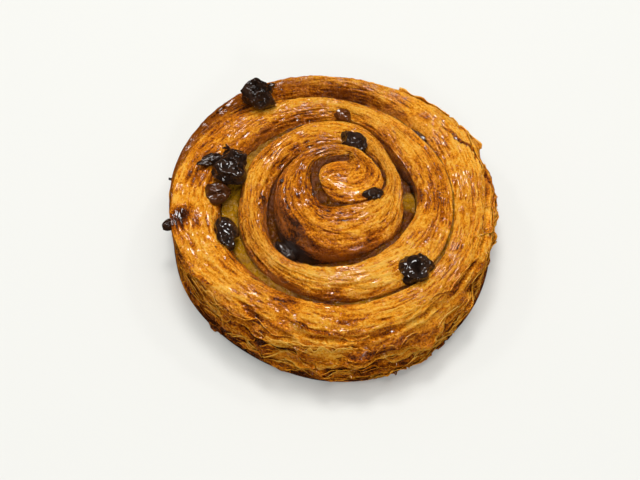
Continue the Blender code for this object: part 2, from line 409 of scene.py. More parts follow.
def roll_surface(place, kind, share):
    """Points of the roll at places along it. kind is the part of the cross-section, and share runs along
    that part."""
    start, end, free, index = strip_ends(place)
    across = end - start
    width = np.linalg.norm(across, axis=-1, keepdims=True)
    across = across / np.maximum(width, 1e-6)
    room = np.minimum(1.0, width / (SHOULDER_INSET + SHOULDER_ROOM))
    inner_index = np.where(place < 2, 2 - place, np.maximum(index - 8, 0))
    lip = np.minimum(seam_lip(inner_index)[:, None], width * LIP_SHARE)
    free = free[:, None]
    crest_start = start + across * lip
    crest_end = end - across * outer_inset(1.0, free, index) * room
    inner_dip = smooth(SEAM_DIP, inner_index)
    outer_dip = smooth(SEAM_DIP, index)
    slump = smooth(INNER_SLUMP, inner_index)
    inner_top = (crest_height(start) - crest_drop(start, width[:, 0]) * inner_dip - slump)[:, None]
    outer_top = (crest_height(crest_end) - crest_drop(crest_end, width[:, 0]) * outer_dip)[:, None]
    points = np.zeros((len(place), len(share), 3))
    for column, (part, s) in enumerate(zip(kind, share)):
        if part == INNER:
            plan = start + across * lip * s**3
            z = inner_top[:, 0] * s
        elif part == CREST:
            plan = crest_start + (crest_end - crest_start) * s
            dip = inner_dip if s < 0.5 else outer_dip
            z = crest_height(plan) - crest_drop(plan, width[:, 0]) * dip * abs(2 * s - 1) ** CREST_POWER
            z = z - slump * max(0.0, 1 - s / SLUMP_REACH) ** SLUMP_POWER
        elif part == OUTER:
            plan = end - across * outer_inset(s, free, index) * room
            z = outer_top[:, 0] * s
        else:
            foot = end - across * outer_inset(0.0, free, index) * room
            plan = foot + (start - foot) * s
            z = np.zeros(len(place))
        points[:, column, :2] = plan
        points[:, column, 2] = z
    return points, index


def eye_position():
    """Where the eye stands in the shared frame, in millimetres: the middle of the solid's box, less that of
    the outline measured from the eye."""
    place = np.arange(2.0, ROLL_END - 2 + 1e-6, 0.25)
    points, _ = roll_surface(place, [OUTER], [0.5])
    low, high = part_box("dough_roll")
    middle = (points[:, 0, :2].min(axis=0) + points[:, 0, :2].max(axis=0)) / 2
    box_middle = np.array([(low.x + high.x) / 2 / MM, (low.y + high.y) / 2 / MM])
    return np.append(box_middle - middle, 0.0)


# ---------------------------------------------------------------- meshes


def new_grid(name, rows, columns):
    """A flat grid of rows x columns vertices, made by Blender's own grid, as the active object."""
    bpy.ops.object.select_all(action="DESELECT")
    bpy.ops.mesh.primitive_grid_add(x_subdivisions=columns - 1, y_subdivisions=rows - 1, size=1.0)
    piece = bpy.context.object
    piece.name = name
    piece.data.name = name
    if len(piece.data.vertices) != rows * columns:
        raise RuntimeError(f"{name}: the grid has {len(piece.data.vertices)} vertices, not {rows * columns}")
    return piece


def place_vertices(piece, points):
    """Moves a mesh's vertices to points in millimetres."""
    flat = (np.asarray(points, float).reshape(-1, 3) * MM).astype(np.float32)
    piece.data.vertices.foreach_set("co", flat.ravel())
    piece.data.update()


def vertex_points(piece):
    """A mesh's vertices as an array with a row for each."""
    points = np.empty(len(piece.data.vertices) * 3, np.float32)
    piece.data.vertices.foreach_get("co", points)
    return points.reshape(-1, 3).astype(float)


def store(piece, name, values):
    """Keeps one number per vertex for the material."""
    attribute = piece.data.attributes.new(name, "FLOAT", "POINT")
    attribute.data.foreach_set("value", np.asarray(values, np.float32).ravel())


def lay_map(piece, u, v):
    """The UV map: distance along and across the strip, in centimetres."""
    layer = piece.data.uv_layers.active or piece.data.uv_layers.new(name="UVMap")
    corner = np.empty(len(piece.data.loops), np.int32)
    piece.data.loops.foreach_get("vertex_index", corner)
    pairs = np.stack([np.asarray(u).ravel() / 10, np.asarray(v).ravel() / 10], axis=-1)[corner]
    layer.data.foreach_set("uv", pairs.astype(np.float32).ravel())


def surface_normals(points):
    """Unit normals of a grid of points, pointing to the left of its rows and columns."""
    along = np.gradient(points, axis=0)
    across = np.gradient(points, axis=1)
    normal = np.cross(along, across)
    return normal / np.maximum(np.linalg.norm(normal, axis=-1, keepdims=True), 1e-9)


def finish_piece(piece, slot_name, *nodes):
    """Puts a finished piece on the body, in place of its CAD nodes. slot_name is not used."""
    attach(piece, "root")
    if nodes:
        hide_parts(*nodes)


def face_outwards():
    """Turns the active piece's faces outwards and shades it smooth."""
    bpy.ops.object.mode_set(mode="EDIT")
    bpy.ops.mesh.select_all(action="SELECT")
    bpy.ops.mesh.normals_make_consistent(inside=False)
    bpy.ops.object.mode_set(mode="OBJECT")
    bpy.ops.object.shade_smooth()


def close_and_shade(piece):
    """Merges the points that meet, closes the open edges, turns the faces outwards and shades smooth."""
    bpy.context.view_layer.objects.active = piece
    bpy.ops.object.mode_set(mode="EDIT")
    bpy.ops.mesh.select_all(action="SELECT")
    bpy.ops.mesh.remove_doubles(threshold=MERGE * MM)
    bpy.ops.mesh.select_all(action="DESELECT")
    bpy.ops.mesh.select_mode(type="EDGE")
    bpy.ops.mesh.select_non_manifold(
        extend=False, use_wire=False, use_multi_face=False, use_non_contiguous=False, use_verts=False
    )
    bpy.ops.mesh.fill_holes(sides=0)
    bpy.ops.object.mode_set(mode="OBJECT")
    face_outwards()



# ---------------------------------------------------------------- materials


def new_group(name, inputs, outputs):
    """A shader node group with named sockets, and its input and output nodes."""
    group = bpy.data.node_groups.new(name, "ShaderNodeTree")
    for label, kind in inputs:
        group.interface.new_socket(name=label, in_out="INPUT", socket_type=kind)
    for label, kind in outputs:
        group.interface.new_socket(name=label, in_out="OUTPUT", socket_type=kind)
    entry = group.nodes.new("NodeGroupInput")
    leave = group.nodes.new("NodeGroupOutput")
    return group, entry, leave


def math_node(tree, operation, first, second, clamp=False):
    """A Math node whose inputs are sockets or numbers; gives its output."""
    node = tree.nodes.new("ShaderNodeMath")
    node.operation = operation
    node.use_clamp = clamp
    for slot_index, value in enumerate((first, second)):
        if isinstance(value, (int, float)):
            node.inputs[slot_index].default_value = value
        else:
            tree.links.new(value, node.inputs[slot_index])
    return node.outputs[0]


def weighted(tree, total, value, weight):
    """A total plus a value times its weight."""
    return math_node(tree, "ADD", total, math_node(tree, "MULTIPLY", value, weight))


def range_node(tree, value, from_low, from_high, to_low=0.0, to_high=1.0):
    """A value moved smoothly from one range to another; gives its output."""
    node = tree.nodes.new("ShaderNodeMapRange")
    node.interpolation_type = "SMOOTHSTEP"
    tree.links.new(value, node.inputs["Value"])
    node.inputs["From Min"].default_value = from_low
    node.inputs["From Max"].default_value = from_high
    node.inputs["To Min"].default_value = to_low
    node.inputs["To Max"].default_value = to_high
    return node.outputs["Result"]


def mix_colour(tree, factor, first, second):
    """Two colours mixed by a mask; each colour is a socket, or a colour of the look."""
    node = tree.nodes.new("ShaderNodeMix")
    node.data_type = "RGBA"
    sockets = {socket.identifier: socket for socket in node.inputs}
    tree.links.new(factor, sockets["Factor_Float"])
    for label, colour in (("A_Color", first), ("B_Color", second)):
        if isinstance(colour, bpy.types.NodeSocket):
            tree.links.new(colour, sockets[label])
        else:
            sockets[label].default_value = (*colour, 1.0)
    return next(socket for socket in node.outputs if socket.identifier == "Result_Color")


def noise_node(tree, vector, scale, detail, roughness=0.5, distortion=0.0, stretch=None):
    """Blender's noise over a vector, stretched if a scale is given for each axis; gives its output."""
    if stretch:
        mapping = tree.nodes.new("ShaderNodeMapping")
        mapping.inputs["Scale"].default_value = stretch
        tree.links.new(vector, mapping.inputs["Vector"])
        vector = mapping.outputs["Vector"]
    node = tree.nodes.new("ShaderNodeTexNoise")
    node.inputs["Scale"].default_value = scale
    node.inputs["Detail"].default_value = detail
    node.inputs["Roughness"].default_value = roughness
    node.inputs["Distortion"].default_value = distortion
    tree.links.new(vector, node.inputs["Vector"])
    return node.outputs["Fac"]


def attribute_node(tree, name):
    """The output of a number that is kept with each vertex."""
    node = tree.nodes.new("ShaderNodeAttribute")
    node.attribute_name = name
    return node.outputs["Fac"]


def streak_group():
    """Fine streaks of laminated dough: masks stretched along the strip's map, with blotches and grain."""
    masks = ("Streaks", "Fine", "Blotches", "Grain", "Relief", "Film")
    group, entry, leave = new_group(
        "Laminated streaks",
        [("Map", "NodeSocketVector"), ("Object", "NodeSocketVector")],
        [(mask, "NodeSocketFloat") for mask in masks],
    )
    strip = entry.outputs["Map"]
    body = entry.outputs["Object"]
    broad = noise_node(group, strip, 1.0, 3.0, 0.6, 1.0, (4.2, 11.0, 1.0))
    fine = noise_node(group, strip, 1.0, 3.0, 0.65, 1.3, (10.0, 24.0, 1.0))
    blotches = noise_node(group, body, 95.0, 4.0, 0.62)
    grain = noise_node(group, body, 1350.0, 2.0, 0.6)
    drops = noise_node(group, body, 650.0, 2.0, 0.5)
    relief = weighted(group, math_node(group, "MULTIPLY", fine, 0.8), grain, 0.6)
    relief = weighted(group, relief, broad, 0.45)
    relief = weighted(group, relief, drops, 0.4)
    film = weighted(group, math_node(group, "MULTIPLY", drops, 0.5), fine, 0.5)
    values = (
        range_node(group, broad, 0.30, 0.70),
        range_node(group, fine, 0.32, 0.68),
        range_node(group, blotches, 0.35, 0.68),
        range_node(group, grain, 0.3, 0.7),
        relief,
        film,
    )
    for mask, value in zip(masks, values):
        group.links.new(value, leave.inputs[mask])
    return group


def browning_and_shade_group(look):
    """Colour of baked dough from how far it has browned, from pale gold to burnt sugar; past that it turns to
    char, which also stands for painted shade in the deepest gaps.
    """
    group, entry, leave = new_group(
        "Crust browning and shade",
        [("Browning and shade", "NodeSocketFloat"), ("Caramel", "NodeSocketFloat")],
        [("Colour", "NodeSocketColor")],
    )
    ramp = group.nodes.new("ShaderNodeValToRGB")
    stops = [(0.0, look.pale), (0.25, look.golden), (0.5, look.amber), (0.76, look.brown), (1.0, look.burnt)]
    elements = ramp.color_ramp.elements
    while len(elements) < len(stops):
        elements.new(0.5)
    for element, (position, colour) in zip(elements, stops):
        element.position = position
        element.color = (*colour, 1.0)
    group.links.new(entry.outputs["Browning and shade"], ramp.inputs["Fac"])
    colour = mix_colour(group, entry.outputs["Caramel"], ramp.outputs["Color"], look.caramel)
    # Past full browning the colour turns to char: burnt sugar and the scorched foot, and painted shade in the
    # deepest gaps.
    char_and_gap_shade = range_node(group, entry.outputs["Browning and shade"], 0.95, 1.5)
    colour = mix_colour(group, char_and_gap_shade, colour, look.char_and_gap_shade)
    group.links.new(colour, leave.inputs["Colour"])
    return group


def new_material(name):
    """A material, its node tree and its shader."""
    material = bpy.data.materials.new(name)
    material.use_nodes = True
    shader = material.node_tree.nodes["Principled BSDF"]
    return material, material.node_tree, shader


def add_bump(tree, shader, height, strength, distance):
    """The smallest relief, too fine for the mesh."""
    bump = tree.nodes.new("ShaderNodeBump")
    bump.inputs["Strength"].default_value = strength
    bump.inputs["Distance"].default_value = distance
    tree.links.new(height, bump.inputs["Height"])
    tree.links.new(bump.outputs["Normal"], shader.inputs["Normal"])


def object_coordinates(tree):
    return tree.nodes.new("ShaderNodeTexCoord").outputs["Object"]


def crust_material(look):
    """Glazed laminated crust: browning with painted shade on the side and deep in the seam, streaks and small
    relief under a thin clear glaze.
    """
    material, tree, shader = new_material("glazed_crust")
    uv = tree.nodes.new("ShaderNodeUVMap")
    uv.uv_map = "UVMap"
    streaks = tree.nodes.new("ShaderNodeGroup")
    streaks.node_tree = bpy.data.node_groups.get("Laminated streaks") or streak_group()
    tree.links.new(uv.outputs["UV"], streaks.inputs["Map"])
    tree.links.new(object_coordinates(tree), streaks.inputs["Object"])
    caramel = attribute_node(tree, "caramel")

    # The browning carries painted shade too: on the side and deep in the seam.
    browning_and_shade = attribute_node(tree, "bake_and_shade")
    for mask, weight in (("Streaks", -0.16), ("Fine", -0.30), ("Grain", -0.32), ("Blotches", 0.22)):
        centred = math_node(tree, "SUBTRACT", streaks.outputs[mask], 0.5)
        browning_and_shade = weighted(tree, browning_and_shade, centred, weight)
    browning_and_shade = weighted(tree, browning_and_shade, attribute_node(tree, "relief"), -0.32)
    colours = tree.nodes.new("ShaderNodeGroup")
    colours.node_tree = bpy.data.node_groups.get("Crust browning and shade") or browning_and_shade_group(look)
    tree.links.new(browning_and_shade, colours.inputs["Browning and shade"])
    tree.links.new(caramel, colours.inputs["Caramel"])
    tree.links.new(colours.outputs["Colour"], shader.inputs["Base Color"])
    roughness = range_node(tree, streaks.outputs["Film"], 0.2, 0.8, look.rough_low, look.rough_high)
    tree.links.new(roughness, shader.inputs["Roughness"])
    wetness = weighted(tree, streaks.outputs["Blotches"], caramel, 0.6)
    coat = range_node(tree, wetness, 0.25, 0.8, look.glaze_low, look.glaze_high)
    tree.links.new(coat, shader.inputs["Coat Weight"])
    shader.inputs["Coat Roughness"].default_value = 0.07
    shader.inputs["Coat IOR"].default_value = 1.5
    shader.inputs["Specular IOR Level"].default_value = 0.45
    add_bump(tree, shader, streaks.outputs["Relief"], 0.9, look.bump)
    return material


def custard_material(look):
    """Baked custard: glossy, from yellow-green where it is thick to dark caramel where it has cooked."""
    material, tree, shader = new_material("glossy_custard")
    patches = noise_node(tree, object_coordinates(tree), 330.0, 3.0, 0.6)
    uneven = math_node(tree, "MULTIPLY", math_node(tree, "SUBTRACT", patches, 0.5), 0.9)
    mask = math_node(tree, "ADD", attribute_node(tree, "caramel"), uneven, True)
    tree.links.new(mix_colour(tree, mask, look.custard, look.cooked), shader.inputs["Base Color"])
    tree.links.new(range_node(tree, patches, 0.35, 0.65, 0.12, 0.5), shader.inputs["Roughness"])
    shader.inputs["Specular IOR Level"].default_value = 0.3
    add_bump(tree, shader, patches, 1.0, 0.003)
    return material


def raisin_material(look):
    """Dried grape: nearly black, wrinkled, brown where it is thin, with a wet glaze."""
    material, tree, shader = new_material("glazed_raisin")
    grain = noise_node(tree, object_coordinates(tree), 420.0, 3.0, 0.55)
    folds = math_node(tree, "MULTIPLY", attribute_node(tree, "fold"), 0.5, True)
    skin = mix_colour(tree, range_node(tree, grain, 0.35, 0.7), look.raisin_dark, look.raisin_light)
    skin = mix_colour(tree, folds, skin, look.raisin_light)
    skin = mix_colour(tree, attribute_node(tree, "brown"), skin, look.raisin_brown)
    tree.links.new(skin, shader.inputs["Base Color"])
    tree.links.new(range_node(tree, grain, 0.3, 0.7, 0.35, 0.6), shader.inputs["Roughness"])
    shader.inputs["Specular IOR Level"].default_value = 0.04
    shader.inputs["Coat Weight"].default_value = 1.0
    shader.inputs["Coat Roughness"].default_value = 0.04
    add_bump(tree, shader, grain, 0.4, 0.0004)
    return material


# ---------------------------------------------------------------- settings


def colour_property(name, description, default):
    return FloatVectorProperty(name=name, description=description, subtype="COLOR", default=default)


def relief_property(name, description, default, most):
    """A height in millimetres; millimetres are kept as plain numbers."""
    return FloatProperty(name=name, description=description + ", mm", default=default, min=0, max=most)


def share_property(name, description, default):
    return FloatProperty(name=name, description=description, default=default, min=0, max=1, subtype="FACTOR")


class PastrySettings(bpy.types.PropertyGroup):
    """Sizes of the roll's looks, in millimetres."""

    stations: IntProperty(
        name="Stations", description="Cross-sections along the roll", default=930, min=200, max=2000
    )
    ridge: relief_property("Ridge", "Height of the laminated ridges", 0.62, 2)
    layer: relief_property("Layer", "Height of the broad layers", 0.55, 3)
    pillow: relief_property("Pillow", "Unevenness of the crests", 0.8, 3)
    lobe: relief_property("Lobe", "Height of the glazed lobes on the shoulder", 2.2, 4)
    flakes: IntProperty(name="Flakes", description="Loose flakes on the side", default=330, min=0, max=450)
    flake: relief_property("Flake", "Depth of the flakes on the side", 1.2, 3)


class PastryLook(bpy.types.PropertyGroup):
    """Colours and finishes."""

    pale: colour_property("Pale", "Least baked dough", (1.0, 0.55, 0.088))
    golden: colour_property("Golden", "Golden dough", (0.97, 0.415, 0.026))
    amber: colour_property("Amber", "Amber dough", (0.74, 0.215, 0.004))
    brown: colour_property("Brown", "Brown dough", (0.36, 0.076, 0.001))
    burnt: colour_property("Burnt", "Darkest dough", (0.085, 0.017, 0.003))
    caramel: colour_property("Caramel", "Sugar cooked on the walls", (0.36, 0.085, 0.002))
    # The darkest colour: burnt sugar, and painted shade in the deepest gaps.
    char_and_gap_shade: colour_property("Charred", "Sugar burnt in the deepest gaps", (0.030, 0.006, 0.001))
    custard: colour_property("Custard", "Thick custard", (0.38, 0.18, 0.003))
    cooked: colour_property("Cooked", "Cooked custard", (0.10, 0.024, 0.001))
    raisin_dark: colour_property("Raisin dark", "Skin", (0.006, 0.003, 0.002))
    raisin_light: colour_property("Raisin light", "Skin on the folds", (0.030, 0.014, 0.008))
    raisin_brown: colour_property("Raisin brown", "Brown fruit", (0.10, 0.026, 0.004))
    rough_low: share_property("Least roughness", "Roughness where wet", 0.05)
    rough_high: share_property("Most roughness", "Roughness where dry", 0.28)
    glaze_low: share_property("Least glaze", "Coat where thin", 0.0)
    glaze_high: share_property("Most glaze", "Coat where thick", 0.85)
    bump: FloatProperty(
        name="Fine relief", description="Depth of the smallest relief", default=0.0016,
        min=0, max=0.01, subtype="DISTANCE", unit="LENGTH",
    )


# ---------------------------------------------------------------- pieces


def profile():
    """The cross-section's columns: which part of the outline, and how far along it."""
    inner = 1 - (1 - np.linspace(0, 1, INNER_COLUMNS)) ** 1.6
    crest = np.linspace(0, 1, CREST_COLUMNS + 2)[1:-1]
    outer = np.linspace(1, 0, OUTER_COLUMNS)
    base = np.linspace(0, 1, BASE_COLUMNS + 1)[1:]
    kind = [INNER] * len(inner) + [CREST] * len(crest) + [OUTER] * len(outer) + [BASE] * len(base)
    share = np.concatenate([inner, crest, outer, base])
    across = np.concatenate([
        (inner - 1) * WALL_HEIGHT,
        crest * STRIP_WIDTH,
        STRIP_WIDTH + (1 - outer) * WALL_HEIGHT,
        STRIP_WIDTH + WALL_HEIGHT + base * BASE_WIDTH,
    ])
    return kind, share, across


def dough_relief(dough, wall, height, settings):
    """How far the surface stands out from the plain roll, and the part of it that reads as ridges.
    Also how far each point lies on the flaky side, and the flakes there."""
    points, indexes, u, v, free = dough.points, dough.indexes, dough.u, dough.v, dough.free
    drift = 1.6 * noise(spread(u, v, 46, 30), 11) + 0.5 * noise(spread(u, v, 13, 8), 12)
    lines = noise(spread(u, v + drift, 6.5, 0.95), 21) + 0.6 * noise(spread(u, v + drift, 3.2, 0.7), 22)
    ridges = 1 - 2 * np.abs(lines)
    layers = noise(spread(u, v + 1.6 * drift, 20, 2.8), 31)
    layers = 0.5 * layers + 0.5 * terrace(layers * 1.6, 2.6) / 1.6
    pillows = layered(points / 13.0, 41, 2)
    lumps = layered(points / 4.2, 51, 2)
    side = free * ease(height, 0.96, 0.72)
    crest = 1 - side
    total = crest * (settings.ridge * ridges * 0.5 + settings.layer * layers * 0.7) + 0.22 * lumps
    total += settings.pillow * 0.6 * pillows
    sheets = layered(spread(u, v, 11, 3.0), 61, 2) + 0.35 * noise(spread(u, v, 3.2, 1.2), 62)
    flakes = terrace(sheets * 2.6, 3.2) / 2.6
    wrinkles = 1 - 2 * np.abs(noise(spread(u, v, 5.5, 1.5), 63))
    # The flat tail is smoother, and its glaze has bubbled.
    tail = tail_share(indexes)
    total *= 1 - 0.65 * tail
    bubbles = np.maximum(0.0, noise(points / 1.7, 65)) * ease(indexes, 33.6, 32.4)
    total += tail * crest * 0.9 * bubbles
    side_flakes = settings.flake * (0.7 * flakes + 0.18 * wrinkles) - 0.9
    total += side * side_flakes * (1 - tail)
    lobes = layered(points / 7.0, 66, 2)
    shoulder = ease(height, 0.995, 0.86) * ease(height, 0.2, 0.5)
    total += settings.lobe * lobes * free * shoulder * (1 - tail)
    for x, y, z, reach, amount in SIDE_LOBES:
        away = ((points - np.array([x, y, z])) ** 2).sum(axis=-1) / reach**2
        total += side * amount * np.exp(-(away**2))
    for at, reach, amount in SIDE_TRIMS:
        total -= side * amount * np.exp(-(((indexes - at) / reach) ** 2))
    reading = crest * (0.65 * ridges + 0.2 * layers) + side * (0.5 * wrinkles + 0.6 * flakes)
    return total * wall, reading, side, flakes


def swept_dough(settings):
    """The crust's surface: a grid of points with a row for each place along the roll and a column for each
    part of the cross-section, with what the colours and the flakes need to know about them."""
    kind, share, across = profile()
    place, distance = roll_places(settings.stations)
    points, index = roll_surface(place, kind, share)
    rows, columns = points.shape[:2]
    dough = SimpleNamespace(points=points, distance=distance, across=across, index=index)
    dough.u = np.repeat(distance[:, None], columns, axis=1)
    dough.v = np.repeat(across[None, :], rows, axis=0)
    dough.kinds = np.repeat(np.array(kind)[None, :], rows, axis=0)
    dough.shares = np.repeat(share[None, :], rows, axis=0)
    dough.indexes = np.repeat(index[:, None], columns, axis=1)
    dough.free = ease(dough.indexes, RIM_START, RIM_FULL)
    dough.depth = crest_height(points[..., :2]) - points[..., 2]

    # Walls inside the seam keep a third of the relief, and the foot and the base keep none.
    kinds = dough.kinds
    wall = np.where(kinds == BASE, 0.0, 1.0)
    seam_side = (kinds == INNER) | ((kinds == OUTER) & (dough.free < 0.5))
    wall = np.where(seam_side, 0.35, wall) * ease(points[..., 2], 0.0, 2.0)
    shoulder = ease(dough.shares, 0.82, 1.0) * (kinds == CREST) * dough.free
    height = np.where(kinds == OUTER, dough.shares, 1.0)
    dough.height = np.where(kinds == CREST, 1.0 - 0.2 * shoulder, height)
    relief, dough.reading, dough.side, dough.flakes = dough_relief(dough, wall, dough.height, settings)
    dough.normals = -surface_normals(points)
    dough.points = points + dough.normals * relief[..., None]
    dough.points[..., 2] = np.maximum(dough.points[..., 2], 0.0)
    return dough


def scorched(index, height):
    """How far the foot has burnt, at the place where the side starts."""
    return np.exp(-(((index - SCORCH_AT) / SCORCH_REACH) ** 2)) * ease(height, 12.0, 3.0)


def dough_browning_and_shade(dough):
    """How far each point of the crust has browned, with painted shade added on the side and deep in the seam,
    and how much cooked sugar lies on it.
    """
    points, u, v, kinds, shares = dough.points, dough.u, dough.v, dough.kinds, dough.shares
    indexes, free, side = dough.indexes, dough.free, dough.side
    ragged = 1.0 * noise(spread(u, v, 9, 4), 71) + 0.6 * noise(spread(u, v, 3, 1.5), 72)
    inner_side = (kinds == INNER) | ((kinds == CREST) & (shares < 0.5))
    gap_side = np.where(inner_side, 1.0, 1 - free)
    wall_amount = smooth(WALL_CARAMEL, np.where(inner_side, np.maximum(indexes - 8, 0), indexes))
    sunk = dough.depth / full_drop(points[..., :2])
    caramel = ease(sunk + 0.35 * ragged, 0.55, 1.25) * wall_amount * gap_side
    bake_and_shade = smooth(CREST_BAKE, indexes) + 0.10 * layered(points / 16.0, 81, 3)
    bake_and_shade = bake_and_shade + 0.06 * noise(spread(u, v, 22, 2.2), 82)
    browned_edge = ease(sunk + 0.3 * ragged, 0.1, 1.0) * (0.3 + 0.7 * wall_amount)
    bake_and_shade += 0.34 * browned_edge * gap_side

    # The shoulder and the side are darker and more uneven, most of all at the foot. On the side the darkness
    # is partly browning and partly painted shade, for the side that faces away from the light.
    shoulder_band = free * ease(dough.height, 0.995, 0.9)
    bake_and_shade += shoulder_band * (0.05 + 0.28 * layered(points / 5.0, 84, 2))
    sheets = noise(spread(u, v, 17, 7), 83)
    foot = ease(points[..., 2], 6.0, 0.0)
    scorch = scorched(indexes, points[..., 2])
    bake_and_shade += side * (0.36 + 0.14 * ragged + 0.16 * sheets - 0.10 * dough.flakes + 0.25 * foot + 0.5 * scorch)

    # The flat tail is covered in caramel, except on the crest beside the seam.
    tail = tail_share(indexes) * (kinds != BASE)
    on_crest = (kinds == CREST) * ease(shares, 0.4, 0.1) + (kinds == INNER)
    caramel = np.maximum(caramel * (1 - tail), tail * (0.8 + 0.25 * ragged) * (1 - on_crest))
    bake_and_shade += tail * (0.10 + 0.12 * ragged - 0.30 * on_crest)
    for x, y, reach, amount in TONE_PATCHES:
        away = (points[..., 0] - x) ** 2 + (points[..., 1] - y) ** 2
        bake_and_shade += amount * np.exp(-away / reach**2) * (1 + 0.5 * ragged)
    for x, y, z, reach, amount in SIDE_TONE_PATCHES:
        away = ((points - np.array([x, y, z])) ** 2).sum(axis=-1)
        bake_and_shade += amount * np.exp(-away / reach**2) * (1 + 0.4 * ragged)
    # Deep in the seam the crust turns to char: partly burnt sugar, partly painted shade in the deep gaps.
    bake_and_shade += 0.9 * ease(dough.depth, 5.0, 11.0) * gap_side * (wall_amount > 0.55)
    return np.where(kinds == BASE, 0.62, bake_and_shade), np.where(kinds == BASE, 0.0, caramel)


def build_dough(settings, look):
    """The crust of the whole roll: one strip swept from the eye to the tail, with its laminated ridges."""
    dough = swept_dough(settings)
    bake_and_shade, caramel = dough_browning_and_shade(dough)
    piece = new_grid("dough_coils", *dough.u.shape)
    place_vertices(piece, dough.points + eye_position())
    store(piece, "bake_and_shade", bake_and_shade)
    store(piece, "caramel", caramel)
    store(piece, "relief", dough.reading)
    lay_map(piece, dough.u, dough.v)
    close_and_shade(piece)
    piece.data.materials.append(crust_material(look))
    finish_piece(piece, "baked_crust", "dough_roll")
    return piece


def sample_grid(grid, row, column):
    """Values of a grid of points between its rows and columns."""
    rows, columns = grid.shape[:2]
    row = np.clip(row, 0, rows - 1.001)
    column = np.clip(column, 0, columns - 1.001)
    r = row.astype(int)
    c = column.astype(int)
    a = (row - r)[..., None]
    b = (column - c)[..., None]
    top = grid[r, c] * (1 - b) + grid[r, c + 1] * b
    bottom = grid[r + 1, c] * (1 - b) + grid[r + 1, c + 1] * b
    return top * (1 - a) + bottom * a


def each(values):
    """One value per flake, shaped to go with the rows and columns of the flakes."""
    return values[:, None, None]


def flake_noise(seed, *coordinates):
    return noise(np.stack(np.broadcast_arrays(*coordinates), axis=-1), seed)


def cut_and_thicken(piece, count):
    """Cuts one long grid into flakes and gives them a thickness."""
    between = np.zeros((count * FLAKE_ROWS - 1, FLAKE_COLUMNS - 1), bool)
    between[FLAKE_ROWS - 1 :: FLAKE_ROWS] = True
    bpy.ops.object.mode_set(mode="EDIT")
    bpy.ops.mesh.select_mode(type="FACE")
    bpy.ops.mesh.select_all(action="DESELECT")
    bpy.ops.object.mode_set(mode="OBJECT")
    piece.data.polygons.foreach_set("select", between.ravel())
    bpy.ops.object.mode_set(mode="EDIT")
    bpy.ops.mesh.delete(type="ONLY_FACE")
    bpy.ops.mesh.select_all(action="SELECT")
    bpy.ops.mesh.delete_loose(use_faces=False)
    bpy.ops.object.mode_set(mode="OBJECT")
    thicken = piece.modifiers.new("thickness", "SOLIDIFY")
    thicken.thickness = FLAKE_THICKNESS * MM
    thicken.offset = 0.0
    bpy.ops.object.modifier_apply(modifier=thicken.name)
    face_outwards()


